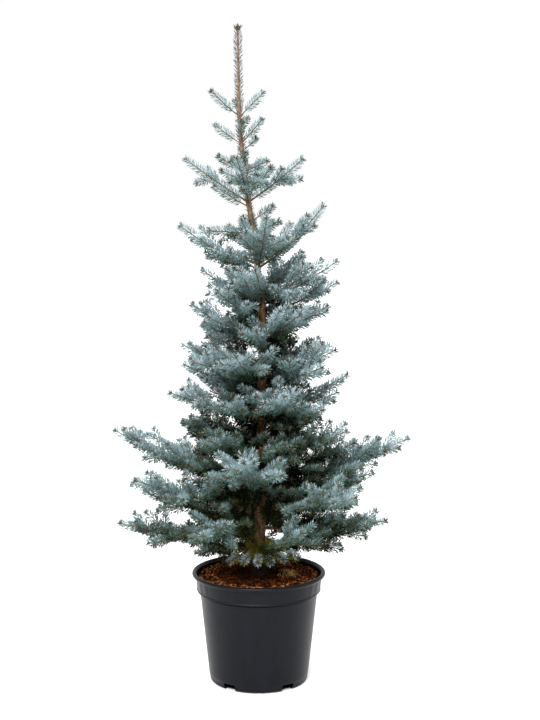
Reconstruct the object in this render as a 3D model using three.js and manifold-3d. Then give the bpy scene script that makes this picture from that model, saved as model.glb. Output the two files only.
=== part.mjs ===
// Potted blue spruce: a young Picea pungens, 1.5 m tall, in a round black nursery pot.
//
// Millimetres, +Z up. The origin is the centre of the pot's flat underside, +X is the crown's right
// and +Y its back. The trunk runs whole from the soil to the foot of the leader. Boughs stand round
// it in tiers. The boughs of the widest tier are bare limbs that each carry a spray of foliage, and
// all other sprays grow straight from the trunk. A spray is one stem with paired side shoots, and
// each shoot is a slim three-sided core with needle blades standing out of it.
import * as THREE from "three";
import { mergeVertices } from "three/addons/utils/BufferGeometryUtils.js";
import Module from "manifold-3d";

const wasm = await Module();
wasm.setup();

// ---------------------------------------------------------------- driving dimensions
const GAP = 0.3; // clearance between neighbouring solids

const POT = {
  height: 257,
  footRadius: 111,
  wallFootRadius: 113.5,
  wallTopRadius: 136.5,
  collarHeight: 34,
  collarFootRadius: 142.5,
  collarTopRadius: 146.5,
  lipRadius: 154.5,
  lipHeight: 10,
  wall: 2.6,
  floor: 4,
  sides: 26,
};
const DRAIN = { count: 5, width: 31, height: 16, depth: 15, notchWidth: 7, notchHeight: 4.5 };

const SOIL = { level: 245, crownRadius: 40, rise: 6 };

const TRUNK = {
  foot: SOIL.level + SOIL.rise + GAP,
  top: 1326, // where the leader takes over
  footRadius: 14,
  tipRadius: 1.9,
  flare: 6,
  flareHeight: 16,
  flareLobes: 5,
  flareLobeDepth: 0.16,
  bow: 8,
  lean: 46,
  leanStart: 0.45,
  leanEnd: 0.85,
  wander: 5,
  sides: 10,
  stations: 14,
};
const LEADER = { top: 1500, needleReach: 12, whorls: 6, coreRadius: 3 };

// One row a tier, from the ground up. height is where its boughs leave the trunk and turn the
// bearing of the first one. left and right give how far out and how far up the tips are. curl is
// the share of the rise that comes late, and bough the share of its length that is a bare limb.
const TIERS = [
  { height: 304, count: 4, turn: 17, left: [322, 80], right: [264, 34], curl: 0.35, bough: 0 },
  { height: 356, count: 4, turn: -25, left: [308, 56], right: [312, 50], curl: 0.35, bough: 0 },
  { height: 402, count: 4, turn: 40, left: [344, 122], right: [346, 68], curl: 0.3, bough: 0 },
  { height: 434, count: 4, turn: -3, left: [332, 148], right: [336, 134], curl: 0.25, bough: 0.3 },
  { height: 525, count: 4, turn: -30, left: [202, 60], right: [216, 76], curl: 0.3, bough: 0 },
  { height: 615, count: 4, turn: 14, left: [212, 64], right: [206, 90], curl: 0.3, bough: 0 },
  { height: 703, count: 4, turn: -18, left: [196, 70], right: [174, 74], curl: 0.3, bough: 0 },
  { height: 786, count: 4, turn: 12, left: [158, 90], right: [150, 82], curl: 0.2, bough: 0 },
  { height: 872, count: 4, turn: -20, left: [140, 74], right: [180, 104], curl: 0.2, bough: 0 },
  { height: 956, count: 4, turn: 10, left: [174, 94], right: [148, 138], curl: 0.35, bough: 0 },
  { height: 1035, count: 2, turn: 14, left: [98, 6], right: [58, 26], curl: 0.1, bough: 0 },
  { height: 1105, count: 4, turn: -10, left: [140, 94], right: [120, 94], curl: 0.15, bough: 0 },
  { height: 1172, count: 2, turn: 18, left: [60, 34], right: [50, 24], curl: 0.1, bough: 0 },
  { height: 1234, count: 2, turn: -14, left: [58, 40], right: [46, 52], curl: 0.1, bough: 0 },
  { height: 1294, count: 2, turn: 10, left: [63, 54], right: [51, 52], curl: 0.1, bough: 0 },
];
const SKIRT_LIFT = 60; // how much more the tips of the lowest tier's front and back boughs rise
const TURN_JITTER = 4; // degrees either way
const SWERVE = 0.07; // sideways bend of a bough, as a share of its reach

const BOUGH = { radiusPerReach: 0.0165, tipShare: 0.62, sides: 6, stations: 4 };
const SPRAY = {
  rootRadius: 2.4, // of the stem, and with every 100 of its length it is radiusPerLength more
  radiusPerLength: 0.5,
  bareFoot: 12, // needles start this far from the trunk's or the bough's end
  whorlLength: 45,
};
const SHOOT = {
  first: 0.25, // from a bough's tip back to its first pair of side shoots, as a share of its length
  firstLeast: 38,
  firstMost: 56,
  spacing: 24, // between pairs, and as much again as spacingShare of the bough's length
  spacingShare: 0.125,
  nearest: 46, // no side shoot starts nearer than this to the trunk
  angle: 50,
  angleJitter: 6,
  lengthPerDistance: 0.5,
  lengthBase: 24,
  longest: 108,
  longFrom: 100, // a side shoot longer than this has three whorls of blades, others two
  lift: 0.14,
  splay: 0.3,
  needleReach: 17,
  rootRadius: 2.2,
  edge: 1.12, // where the blades of a whorl end, in whorls from its foot
  lastEdge: 0.5,
  twist: 37,
};
const ROOM_SHARE = 0.85; // of the needles' reach, the room that a shoot keeps to itself
const ROOT_ROOM = 20; // from its root a side shoot is let be near its parent and its twin
const SEED = 1905;

// ---------------------------------------------------------------- small helpers
const UP = new THREE.Vector3(0, 0, 1);
const RIGHT = new THREE.Vector3(1, 0, 0);
const radians = THREE.MathUtils.degToRad;
const lerp = THREE.MathUtils.lerp;

// A repeatable random source that gives values from 0 to 1.
function seeded(seed) {
  let state = seed >>> 0;
  return () => {
    state = (Math.imul(state, 1664525) + 1013904223) >>> 0;
    return state / 4294967296;
  };
}

const spread = (random, amount) => (2 * random() - 1) * amount;

function solidOf(geometry) {
  const bare = geometry.clone();
  bare.deleteAttribute("normal");
  bare.deleteAttribute("uv");
  const merged = mergeVertices(bare, 1e-3);
  return new wasm.Manifold(
    new wasm.Mesh({
      numProp: 3,
      vertProperties: merged.attributes.position.array,
      triVerts: new Uint32Array(merged.index.array),
    }),
  );
}

function meshOf(name, solid, material) {
  const { vertProperties, triVerts } = solid.getMesh();
  const geometry = new THREE.BufferGeometry();
  geometry.setAttribute("position", new THREE.BufferAttribute(vertProperties, 3));
  geometry.setIndex(new THREE.BufferAttribute(triVerts, 1));
  const flat = geometry.toNonIndexed();
  flat.computeVertexNormals();
  const mesh = new THREE.Mesh(flat, material);
  mesh.name = name;
  return mesh;
}

const joined = (solids) => solids.reduce((whole, piece) => whole.add(piece));

// The largest shell of a solid: a hollow sealed inside it is filled and a loose scrap dropped.
const largestShell = (solid) => solid.decompose().sort((a, b) => b.volume() - a.volume())[0];

// Two directions square to a tangent and to each other, counterclockwise about it.
function frameAcross(tangent) {
  const hint = Math.abs(tangent.z) > 0.9 ? RIGHT : UP;
  const side = new THREE.Vector3().crossVectors(hint, tangent).normalize();
  const over = new THREE.Vector3().crossVectors(tangent, side);
  return { side, over };
}

// A closed tapering limb: a cylinder bent along pointAt(t), its radius from radiusAt(t, angle).
// The sections of a level limb stay horizontal.
function limb(pointAt, radiusAt, sides, stations, level = false) {
  const geometry = new THREE.CylinderGeometry(1, 1, 1, sides, stations);
  const positions = geometry.attributes.position;
  const step = 1e-3;
  for (let i = 0; i < positions.count; i++) {
    const t = positions.getY(i) + 0.5;
    const onAxis = Math.hypot(positions.getX(i), positions.getZ(i)) < 1e-6;
    const angle = Math.atan2(-positions.getZ(i), positions.getX(i));
    const along = pointAt(t + step).sub(pointAt(t - step)).normalize();
    const { side, over } = frameAcross(level ? UP : along);
    const radius = onAxis ? 0 : radiusAt(t, angle);
    const place = pointAt(t)
      .addScaledVector(side, radius * Math.cos(angle))
      .addScaledVector(over, radius * Math.sin(angle));
    positions.setXYZ(i, place.x, place.y, place.z);
  }
  return solidOf(geometry);
}

// A shoot: a slim three-sided core along pointAt(t), from which whorls of three needle blades stand
// out and lean forward past the foot of the next whorl. Below bareShare it has no blades.
function shoot({ pointAt, coreRadius, needleReach, whorls, bareShare }) {
  const sides = 3;
  const step = 1e-3;
  const rings = [];
  const addRing = (t, radius, turn) => {
    const tangent = pointAt(t + step).sub(pointAt(t - step)).normalize();
    const { side, over } = frameAcross(tangent);
    rings.push(
      Array.from({ length: sides }, (_, k) => {
        const angle = (2 * Math.PI * k) / sides + radians(turn);
        return pointAt(t)
          .addScaledVector(side, radius * Math.cos(angle))
          .addScaledVector(over, radius * Math.sin(angle));
      }),
    );
  };
  if (bareShare > 0) addRing(0, coreRadius, 0);
  for (let whorl = 0; whorl < whorls; whorl++) {
    const atEnd = whorl === whorls - 1;
    const turn = SHOOT.twist * whorl;
    const foot = lerp(bareShare, 1, whorl / whorls);
    const edge = lerp(bareShare, 1, (whorl + (atEnd ? SHOOT.lastEdge : SHOOT.edge)) / whorls);
    addRing(foot, coreRadius * lerp(1, 0.6, foot), turn);
    addRing(edge, needleReach * (atEnd ? 0.85 : 1), turn + SHOOT.twist);
  }
  const corners = [];
  const face = (a, b, c) => corners.push(a, b, c);
  for (let j = 0; j + 1 < rings.length; j++) {
    for (let k = 0; k < sides; k++) {
      const next = (k + 1) % sides;
      face(rings[j][k], rings[j][next], rings[j + 1][next]);
      face(rings[j][k], rings[j + 1][next], rings[j + 1][k]);
    }
  }
  const [first, last] = [rings[0], rings[rings.length - 1]];
  face(first[0], first[2], first[1]);
  for (let k = 0; k < sides; k++) face(last[k], last[(k + 1) % sides], pointAt(1));
  return solidOf(new THREE.BufferGeometry().setFromPoints(corners));
}

// ---------------------------------------------------------------- pot and soil
const potWallAt = (z) =>
  lerp(POT.wallFootRadius, POT.wallTopRadius, z / (POT.height - POT.lipHeight - POT.collarHeight));

function potProfile() {
  const collarTop = POT.height - POT.lipHeight;
  const collarFoot = collarTop - POT.collarHeight;
  const { wall, floor, lipRadius } = POT;
  return [
    [0, 0],
    [POT.footRadius, 0],
    [potWallAt(4), 4],
    [POT.wallTopRadius, collarFoot],
    [POT.collarFootRadius, collarFoot + 3],
    [POT.collarTopRadius, collarTop],
    [lipRadius - 1.5, collarTop + 0.5],
    [lipRadius, collarTop + 5],
    [lipRadius - 3, POT.height],
    [POT.collarTopRadius - wall, POT.height - 3],
    [POT.collarFootRadius - wall, collarFoot + 3],
    [POT.wallTopRadius - wall, collarFoot],
    [potWallAt(floor) - wall, floor],
    [0, floor],
  ];
}

function lathed(profile, sides) {
  const points = profile.map(([radius, z]) => new THREE.Vector2(radius, z));
  return new THREE.LatheGeometry(points, sides).rotateX(Math.PI / 2);
}

// A cutter across the pot's foot at a bearing, as tall above the ground as below it.
function footCutter(width, height, bearing) {
  const box = new THREE.BoxGeometry(2 * DRAIN.depth, width, 2 * height);
  box.translate(POT.footRadius + 0.2 * DRAIN.depth, 0, 0);
  return solidOf(box.rotateZ(bearing));
}

function potSolid() {
  let pot = solidOf(lathed(potProfile(), POT.sides));
  for (let i = 0; i < DRAIN.count; i++) {
    const turn = (2 * Math.PI) / DRAIN.count;
    const bearing = -Math.PI / 2 + turn * (i + 0.5);
    pot = pot.subtract(footCutter(DRAIN.width, DRAIN.height, bearing));
    pot = pot.subtract(footCutter(DRAIN.notchWidth, DRAIN.notchHeight, bearing + turn / 2));
  }
  return pot;
}

function soilSolid() {
  const collarFoot = POT.height - POT.lipHeight - POT.collarHeight;
  const inset = POT.wall + 2 * GAP;
  const profile = [
    [0, POT.floor + GAP],
    [potWallAt(POT.floor) - inset, POT.floor + GAP],
    [POT.wallTopRadius - inset, collarFoot],
    [POT.collarFootRadius - inset, collarFoot + 3 + GAP],
    [lerp(POT.collarFootRadius, POT.collarTopRadius, 0.8) - inset, SOIL.level],
    [SOIL.crownRadius, SOIL.level + SOIL.rise],
    [0, SOIL.level + SOIL.rise],
  ];
  return solidOf(lathed(profile, POT.sides));
}

// ---------------------------------------------------------------- trunk
const trunkShare = (z) => (z - TRUNK.foot) / (LEADER.top - TRUNK.foot);

function trunkCentre(z) {
  const t = trunkShare(z);
  const leaning = THREE.MathUtils.smoothstep(t, TRUNK.leanStart, TRUNK.leanEnd);
  const x = TRUNK.bow * Math.sin(Math.PI * t) - TRUNK.lean * leaning;
  const y = TRUNK.wander * Math.sin(2.2 * Math.PI * t);
  return new THREE.Vector3(x, y, z);
}

function trunkRadius(z, angle) {
  const flare = Math.exp(-(z - TRUNK.foot) / TRUNK.flareHeight);
  const lobe = 1 + TRUNK.flareLobeDepth * flare * Math.cos(TRUNK.flareLobes * angle);
  return (lerp(TRUNK.footRadius, TRUNK.tipRadius, trunkShare(z)) + TRUNK.flare * flare) * lobe;
}

// Stations crowd together at the foot, where the flare is.
const trunkHeight = (t) => lerp(TRUNK.foot, TRUNK.top, Math.pow(t, 1.35));

function trunkSolid(extra) {
  return limb(
    (t) => trunkCentre(trunkHeight(Math.max(t, 0))),
    (t, angle) => trunkRadius(trunkHeight(t), angle) + extra,
    TRUNK.sides,
    TRUNK.stations,
    true,
  );
}

function leaderSolid() {
  const foot = TRUNK.top + GAP;
  return shoot({
    pointAt: (t) => trunkCentre(lerp(foot, LEADER.top, t)),
    coreRadius: LEADER.coreRadius,
    needleReach: LEADER.needleReach,
    whorls: LEADER.whorls,
    bareShare: 0.06,
  });
}

// ---------------------------------------------------------------- boughs and their shoots
// Reach or rise at a bearing, between the left or right value and the mean of both.
function roundTheTrunk(tier, bearing, which) {
  const across = Math.cos(bearing) >= 0 ? tier.right[which] : tier.left[which];
  const deep = (tier.right[which] + tier.left[which]) / 2;
  return Math.hypot(across * Math.cos(bearing), deep * Math.sin(bearing));
}

// The centre line of bough i of a tier, from the trunk's axis at t = 0 to the tip at t = 1.
function boughAxis(tier, tierIndex, i) {
  const random = seeded(SEED + 101 * tierIndex + 17 * i);
  random();
  const bearing = radians(tier.turn + (360 * i) / tier.count + spread(random, TURN_JITTER));
  const reach = roundTheTrunk(tier, bearing, 0);
  const lift = tierIndex === 0 ? SKIRT_LIFT * Math.sin(bearing) ** 2 : 0;
  const rise = roundTheTrunk(tier, bearing, 1) + lift;
  const swerve = spread(random, SWERVE) * reach;
  const out = new THREE.Vector3(Math.cos(bearing), Math.sin(bearing), 0);
  const aside = new THREE.Vector3(-out.y, out.x, 0);
  const root = trunkCentre(tier.height);
  const pointAt = (t) =>
    root
      .clone()
      .addScaledVector(out, reach * t)
      .addScaledVector(aside, swerve * Math.sin(Math.PI * t) * 0.5)
      .addScaledVector(UP, rise * ((1 - tier.curl) * t + tier.curl * t * t));
  return { random, reach, pointAt, length: Math.hypot(reach, rise) };
}

// One side shoot of a stem, back from its end, on its left (-1) or its right (1). Of each pair one
// rises and one hangs, turn about, so that the spray has some depth.
function sideShoot(line, back, hand, pair, random) {
  const { pointAt } = line;
  const t = 1 - (back + spread(random, 5)) / line.length;
  const tangent = pointAt(t + 1e-3).sub(pointAt(t - 1e-3)).normalize();
  const side = new THREE.Vector3().crossVectors(tangent, UP).normalize();
  const angle = radians(SHOOT.angle + spread(random, SHOOT.angleJitter));
  const direction = tangent
    .multiplyScalar(Math.cos(angle))
    .addScaledVector(side, hand * Math.sin(angle))
    .addScaledVector(UP, SHOOT.lift + SHOOT.splay * hand * (pair % 2 ? 1 : -1) + spread(random, 0.1))
    .normalize();
  const usual = Math.min(SHOOT.lengthBase + SHOOT.lengthPerDistance * back, SHOOT.longest);
  const length = usual * (1 + spread(random, 0.12));
  const root = pointAt(t);
  return { length, pointAt: (u) => root.clone().addScaledVector(direction, length * u) };
}

// The paired side shoots of a stem, from its end back towards its root.
function sideShoots(line, nearest, random) {
  const first = THREE.MathUtils.clamp(SHOOT.first * line.length, SHOOT.firstLeast, SHOOT.firstMost);
  const spacing = SHOOT.spacing + SHOOT.spacingShare * line.length;
  const pairs = Math.max(0, Math.ceil((line.length - first - nearest) / spacing));
  return Array.from({ length: pairs }, (_, pair) =>
    [-1, 1].map((hand) => sideShoot(line, first + pair * spacing, hand, pair, random)),
  ).flat();
}

// Room kept by each stem and shoot: a row of balls, so that no two of them meet except at a root.
const rooms = [];

function ballsAlong({ pointAt, length }, radius, from) {
  const count = Math.max(2, Math.ceil(length / 6));
  return Array.from({ length: count + 1 }, (_, j) => ({
    centre: pointAt(lerp(from, 1, j / count)),
    radius,
  }));
}

const isClear = (balls, parent) =>
  !rooms.some(
    (room) =>
      room.owner !== parent &&
      balls.some((ball) => ball.centre.distanceTo(room.centre) < ball.radius + room.radius),
  );

function claim(balls, owner) {
  for (const ball of balls) rooms.push({ ...ball, owner });
}

// A side shoot as a solid, or none where it has no room.
function growShoot(line, parent) {
  const balls = ballsAlong(line, SHOOT.needleReach * ROOM_SHARE, ROOT_ROOM / line.length);
  if (!isClear(balls, parent)) return [];
  claim(balls, `side shoot of ${parent}`);
  const solid = shoot({
    pointAt: line.pointAt,
    coreRadius: SHOOT.rootRadius,
    needleReach: SHOOT.needleReach,
    whorls: line.length > SHOOT.longFrom ? 3 : 2,
    bareShare: 0,
  });
  return [solid];
}

// A spray's stem runs from its foot, on the trunk's axis or past a bough's end, to its tip.
function spraySolid({ axis, label, from }) {
  const foot = from > 0 ? from + GAP / axis.length : 0;
  const length = (1 - foot) * axis.length;
  const bare = SPRAY.bareFoot + (from > 0 ? 0 : trunkRadius(axis.pointAt(0).z, 0));
  const stem = shoot({
    pointAt: (t) => axis.pointAt(lerp(foot, 1, t)),
    coreRadius: SPRAY.rootRadius + (SPRAY.radiusPerLength * length) / 100,
    needleReach: SHOOT.needleReach,
    whorls: Math.max(2, Math.round((length - bare) / SPRAY.whorlLength)),
    bareShare: bare / length,
  });
  const nearest = Math.max(SHOOT.nearest, from * axis.length + SPRAY.bareFoot);
  const side = sideShoots(axis, nearest, axis.random);
  const spray = joined([stem, ...side.flatMap((line) => growShoot(line, label))]);
  return largestShell(from > 0 ? spray : spray.subtract(trunkSolid(1.2 * GAP)));
}

function boughSolid({ axis, from }) {
  const root = BOUGH.radiusPerReach * axis.length;
  return limb(
    (t) => axis.pointAt(from * t),
    (t) => root * lerp(1, BOUGH.tipShare, t),
    BOUGH.sides,
    BOUGH.stations,
  ).subtract(trunkSolid(1.2 * GAP));
}

// ---------------------------------------------------------------- the plant
const materials = {
  pot: new THREE.MeshStandardMaterial({ color: 0x25272a, roughness: 0.55, metalness: 0 }),
  soil: new THREE.MeshStandardMaterial({ color: 0x5a3118, roughness: 0.95, metalness: 0 }),
  bark: new THREE.MeshStandardMaterial({ color: 0x7a5a42, roughness: 0.9, metalness: 0 }),
  needles: new THREE.MeshStandardMaterial({ color: 0x7f9aa5, roughness: 0.7, metalness: 0 }),
};

const plant = new THREE.Group();
plant.add(meshOf("pot", potSolid(), materials.pot));
plant.add(meshOf("soil", soilSolid(), materials.soil));
plant.add(meshOf("trunk", trunkSolid(0), materials.bark));
plant.add(meshOf("leader", leaderSolid(), materials.needles));

for (let z = TRUNK.foot; z < LEADER.top; z += 6) {
  const reach = z > TRUNK.top ? LEADER.needleReach : trunkRadius(z, 0);
  claim([{ centre: trunkCentre(z), radius: reach }], "trunk");
}

// Every stem is laid first, so that side shoots keep clear of the stems that come after them.
const sprays = TIERS.flatMap((tier, tierIndex) =>
  Array.from({ length: tier.count }, (_, i) => {
    const axis = boughAxis(tier, tierIndex, i);
    const label = `tier${tierIndex + 1}_${i + 1}`;
    const from = tier.bough;
    claim(ballsAlong(axis, SHOOT.needleReach * ROOM_SHARE, Math.max(from, 0.1)), label);
    return { axis, label, from };
  }),
);

for (const spray of sprays) {
  if (spray.from > 0) plant.add(meshOf(`bough_${spray.label}`, boughSolid(spray), materials.bark));
  plant.add(meshOf(`foliage_${spray.label}`, spraySolid(spray), materials.needles));
}

export default plant;
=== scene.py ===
"""Potted blue spruce in its black nursery pot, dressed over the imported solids.

The solids give the trunk, the boughs and one coarse spray a bough. Here the same seeded rule grows the
same sprays again, carries them on to finer shoots inside the same reach, and puts needles, bark and
buds on them. Lengths in the tables are in millimetres, and every mesh is made in metres.
"""

import math

import bpy
import numpy as np
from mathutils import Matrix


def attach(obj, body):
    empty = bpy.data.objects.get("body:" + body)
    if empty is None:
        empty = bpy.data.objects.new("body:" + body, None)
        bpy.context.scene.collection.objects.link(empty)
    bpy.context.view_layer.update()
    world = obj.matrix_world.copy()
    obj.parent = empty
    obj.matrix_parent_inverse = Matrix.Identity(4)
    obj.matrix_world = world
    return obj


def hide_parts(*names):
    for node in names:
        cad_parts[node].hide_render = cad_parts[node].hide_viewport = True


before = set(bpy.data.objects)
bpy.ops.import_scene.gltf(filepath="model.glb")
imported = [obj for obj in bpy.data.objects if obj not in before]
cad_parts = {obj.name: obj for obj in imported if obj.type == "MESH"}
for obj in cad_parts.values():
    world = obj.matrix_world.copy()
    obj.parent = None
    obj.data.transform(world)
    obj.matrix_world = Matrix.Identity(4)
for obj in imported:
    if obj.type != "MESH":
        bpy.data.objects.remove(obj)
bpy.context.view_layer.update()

MM = 0.001
SEED = 1905
UP = np.array([0.0, 0.0, 1.0])

# ---------------------------------------------------------------- the source's dimensions
POT = dict(
    height=257,
    foot_radius=111,
    wall_foot_radius=113.5,
    wall_top_radius=136.5,
    collar_height=34,
    collar_foot_radius=142.5,
    collar_top_radius=146.5,
    lip_radius=154.5,
    lip_height=10,
    wall=2.6,
    floor=4,
)
COLLAR_TOP = POT["height"] - POT["lip_height"]
COLLAR_FOOT = COLLAR_TOP - POT["collar_height"]
DRAIN = dict(count=5, width=31, height=16, depth=15, notch_width=7, notch_height=4.5)
SOIL_LEVEL, SOIL_RISE = 245, 6
TRUNK_FOOT = SOIL_LEVEL + SOIL_RISE + 0.3
LEADER_FOOT, LEADER_TOP = 1326, 1500
SKIRT_LIFT = 60

# the photo's camera: where it stands, its focal length and how many degrees it looks down
EYE = np.array([26.0, -3200.0, 1144.0])
FOCAL_LENGTH, LOOKS_DOWN = 70.85, 7.06

# height, count, turn, left (reach, rise), right (reach, rise), curl, bare share
TIERS = [
    (304, 4, 17, (322, 80), (264, 34), 0.35, 0),
    (356, 4, -25, (308, 56), (312, 50), 0.35, 0),
    (402, 4, 40, (344, 122), (346, 68), 0.3, 0),
    (434, 4, -3, (332, 148), (336, 134), 0.25, 0.3),
    (525, 4, -30, (202, 60), (216, 76), 0.3, 0),
    (615, 4, 14, (212, 64), (206, 90), 0.3, 0),
    (703, 4, -18, (196, 70), (174, 74), 0.3, 0),
    (786, 4, 12, (158, 90), (150, 82), 0.2, 0),
    (872, 4, -20, (140, 74), (180, 104), 0.2, 0),
    (956, 4, 10, (174, 94), (148, 138), 0.35, 0),
    (1035, 2, 14, (98, 6), (58, 26), 0.1, 0),
    (1105, 4, -10, (140, 94), (120, 94), 0.15, 0),
    (1172, 2, 18, (60, 34), (50, 24), 0.1, 0),
    (1234, 2, -14, (58, 40), (46, 52), 0.1, 0),
    (1294, 2, 10, (63, 54), (51, 52), 0.1, 0),
]


# ---------------------------------------------------------------- small helpers
def seeded(seed):
    """The source's repeatable random source, which gives values from 0 to 1."""
    state = seed & 0xFFFFFFFF

    def draw():
        nonlocal state
        state = (state * 1664525 + 1013904223) & 0xFFFFFFFF
        return state / 4294967296

    return draw


def spread(random, amount):
    return (2 * random() - 1) * amount


def lerp(a, b, t):
    return a + (b - a) * t


def smoothstep(x, lo, hi):
    t = np.clip((x - lo) / (hi - lo), 0, 1)
    return t * t * (3 - 2 * t)


def unit(v):
    return v / np.linalg.norm(v, axis=-1, keepdims=True)


def circle(sides):
    """The bearings of evenly spaced points round a circle."""
    return np.arange(sides) * 2 * math.pi / sides


def facing(bearing, lift=0.0):
    """The way out from the Z axis at a bearing, and up by lift."""
    return np.array([math.cos(bearing), math.sin(bearing), lift])


def lattice(cell, seed):
    """A value from 0 to 1 for each whole-numbered cell."""
    h = cell[..., 0] * 374761393 + cell[..., 1] * 668265263 + cell[..., 2] * 362437 + seed * 974711
    h = h & 0xFFFFFFFF
    h = ((h ^ (h >> 13)) * 1274126177) & 0xFFFFFFFF
    return ((h ^ (h >> 16)) & 0xFFFF) / 65535


def noise(points, size, seed):
    """Smooth value noise from -1 to 1 with features of about size."""
    p = np.asarray(points, float) / size
    cell = np.floor(p).astype(np.int64)
    f = p - cell
    f = f * f * (3 - 2 * f)
    total = np.zeros(p.shape[:-1])
    for corner in range(8):
        step = np.array([corner & 1, corner >> 1 & 1, corner >> 2])
        weight = np.prod(np.where(step == 1, f, 1 - f), axis=-1)
        total += weight * lattice(cell + step, seed)
    return 2 * total - 1


def axes_across(along):
    """Two directions square to each of many directions and to each other."""
    hint = np.where(np.abs(along[:, 2:3]) > 0.9, [[1.0, 0, 0]], [[0, 0, 1.0]])
    side = unit(np.cross(hint, along))
    return side, np.cross(along, side)


class Heap:
    """Vertices and triangles that are gathered bit by bit into one joined piece."""

    def __init__(self):
        self.verts, self.faces, self.count = [], [], 0

    def add(self, verts, faces):
        self.verts.append(verts)
        self.faces.append(faces + self.count)
        self.count += len(verts)

    def arrays(self):
        return np.concatenate(self.verts), np.concatenate(self.faces)


def mesh_object(name, verts, faces, smooth=False):
    """A mesh object from points in millimetres and an array of triangles or quads."""
    mesh = bpy.data.meshes.new(name)
    sides = faces.shape[1]
    mesh.vertices.add(len(verts))
    mesh.vertices.foreach_set("co", (verts * MM).astype(np.float32).ravel())
    mesh.loops.add(faces.size)
    mesh.loops.foreach_set("vertex_index", faces.astype(np.int32).ravel())
    mesh.polygons.add(len(faces))
    mesh.polygons.foreach_set("loop_start", np.arange(0, faces.size, sides, dtype=np.int32))
    mesh.polygons.foreach_set("use_smooth", np.full(len(faces), smooth))
    mesh.update(calc_edges=True)
    mesh.validate()
    obj = bpy.data.objects.new(name, mesh)
    bpy.context.scene.collection.objects.link(obj)
    return obj


def dress(obj, material, slot, *nodes):
    """Gives a piece its material and its place on the part."""
    obj.data.materials.clear()
    obj.data.materials.append(material)
    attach(obj, "root")
    if nodes:
        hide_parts(*nodes)
    return obj


def outward(shape, faces):
    """The faces of a small convex shape, turned to look away from its middle."""
    middle = shape.mean(0)
    turned = []
    for a, b, c in faces:
        normal = np.cross(shape[b] - shape[a], shape[c] - shape[a])
        turned.append((a, b, c) if normal @ (shape[a] - middle) > 0 else (a, c, b))
    return shape, np.array(turned)


def scatter(template, origins, along, roll, size):
    """Copies of a small shape, joined. size is each copy's scale across, over and along."""
    shape, faces = template
    side, over = axes_across(along)
    c, s = np.cos(roll)[:, None], np.sin(roll)[:, None]
    a, b = side * c + over * s, over * c - side * s
    verts = (
        origins[:, None]
        + a[:, None] * (shape[None, :, 0:1] * size[:, None, 0:1])
        + b[:, None] * (shape[None, :, 1:2] * size[:, None, 1:2])
        + along[:, None] * (shape[None, :, 2:3] * size[:, None, 2:3])
    )
    shift = np.arange(len(origins))[:, None, None] * len(shape)
    return verts.reshape(-1, 3), (faces[None] + shift).reshape(-1, 3)


def ring_walls(rings, sides, closed=False):
    """Triangles between rings of points, and fans to two end points unless the rings close."""
    k = np.arange(sides)
    after = (k + 1) % sides
    faces = []
    for j in range(rings if closed else rings - 1):
        low, high = j * sides, (j + 1) % rings * sides
        faces.append(np.stack([low + k, low + after, high + after], 1))
        faces.append(np.stack([low + k, high + after, high + k], 1))
    if not closed:
        last, foot, tip = (rings - 1) * sides, rings * sides, rings * sides + 1
        faces.append(np.stack([after, k, np.full(sides, foot)], 1))
        faces.append(np.stack([last + k, last + after, np.full(sides, tip)], 1))
    return np.concatenate(faces)


def tube(points, radii, sides):
    """A closed tube along a row of points, ending in points at its foot and its tip."""
    tangent = unit(np.gradient(points, axis=0))
    side, over = axes_across(np.repeat(unit(points[-1:] - points[:1]), len(points), 0))
    side = unit(side - tangent * np.sum(side * tangent, 1, keepdims=True))
    over = np.cross(tangent, side)
    angle = circle(sides)
    rings = points[:, None] + radii[:, None, None] * (
        side[:, None] * np.cos(angle)[None, :, None] + over[:, None] * np.sin(angle)[None, :, None]
    )
    verts = np.concatenate([rings.reshape(-1, 3), points[:1], points[-1:] + tangent[-1:] * radii[-1]])
    return verts, ring_walls(len(points), sides)


def around(radius, angle, height):
    """Points round the Z axis, from arrays that fit each other."""
    radius, angle, height = np.broadcast_arrays(radius, angle, height)
    return np.stack([radius * np.cos(angle), radius * np.sin(angle), height], -1)


def turned(rings, segments, ripple=None):
    """Rows of points round the Z axis, one row for each radius and height."""
    angle = circle(segments)
    radius, height = rings[:, :1], rings[:, 1:]
    if ripple is not None:
        radius = radius + ripple(radius, height, angle)
    return around(radius, angle, height).reshape(-1, 3)


# ---------------------------------------------------------------- materials
def srgb(r, g, b):
    """A linear colour from an 8-bit screen colour."""
    c = np.array([r, g, b]) / 255
    linear = np.where(c <= 0.04045, c / 12.92, ((c + 0.055) / 1.055) ** 2.4)
    return (*linear, 1.0)


def add_node(tree, kind, **inputs):
    """A new node. Each of its inputs that is named takes a value or another node's output."""
    node = tree.nodes.new("ShaderNode" + kind)
    for name, value in inputs.items():
        socket = node.inputs[name.replace("_", " ").title()]
        if isinstance(value, bpy.types.NodeSocket):
            tree.links.new(value, socket)
        else:
            socket.default_value = value
    return node


def new_material(name, roughness, specular=0.5, sheen=0.0):
    material = bpy.data.materials.new(name)
    material.use_nodes = True
    tree = material.node_tree
    shader = tree.nodes["Principled BSDF"]
    shader.inputs["Roughness"].default_value = roughness
    shader.inputs["Specular IOR Level"].default_value = specular
    shader.inputs["Sheen Weight"].default_value = sheen
    return material, tree, shader, add_node(tree, "TexCoord").outputs["Object"]


def noise_node(tree, place, scale, detail=4.0, roughness=0.6):
    node = add_node(tree, "TexNoise", vector=place, scale=scale, detail=detail, roughness=roughness)
    return node.outputs["Fac"]


def ramp_node(tree, value, *stops):
    node = add_node(tree, "ValToRGB", fac=value)
    ramp = node.color_ramp
    while len(ramp.elements) < len(stops):
        ramp.elements.new(0.5)
    for element, (position, colour) in zip(ramp.elements, stops):
        element.position = position
        element.color = colour
    return node.outputs["Color"]


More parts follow.
